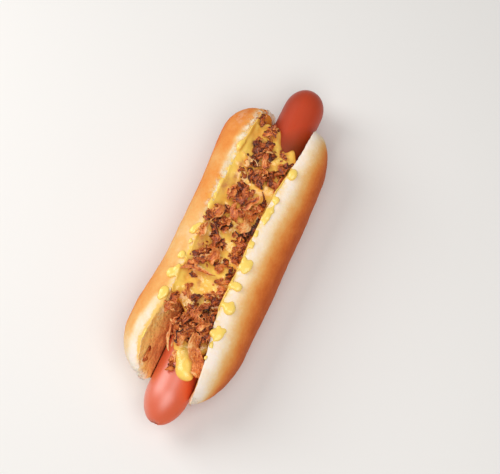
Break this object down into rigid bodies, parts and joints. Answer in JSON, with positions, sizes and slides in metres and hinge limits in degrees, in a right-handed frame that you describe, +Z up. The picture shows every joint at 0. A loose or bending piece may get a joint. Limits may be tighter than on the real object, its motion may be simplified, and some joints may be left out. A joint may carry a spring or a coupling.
{
  "type": "hot dog",
  "caption": "Hot dog lying as served: a long frankfurter in an opened, side-cut soft bun, topped with yellow sauce and a heap of crisp fried onions.",
  "frame": {"origin": "on the surface it rests on, under the middle of its box", "axes": "+X along the sausage toward its blunter end, +Y toward the flatter bun half, +Z up"},
  "size_m": [0.216, 0.0692, 0.0487],
  "materials": {
    "bread": "soft baked crust, pale at the cut edges and brown on the outside",
    "sausage_skin": "smooth moist skin with a soft sheen",
    "yellow_sauce": "thick smooth sauce",
    "crisp_onion": "crisp fried, tan to dark brown"
  },
  "bodies": {
    "root": {"bun": "bread", "sausage": "sausage_skin", "sauce": "yellow_sauce", "fried_onions": "crisp_onion"}
  },
  "joints": []
}
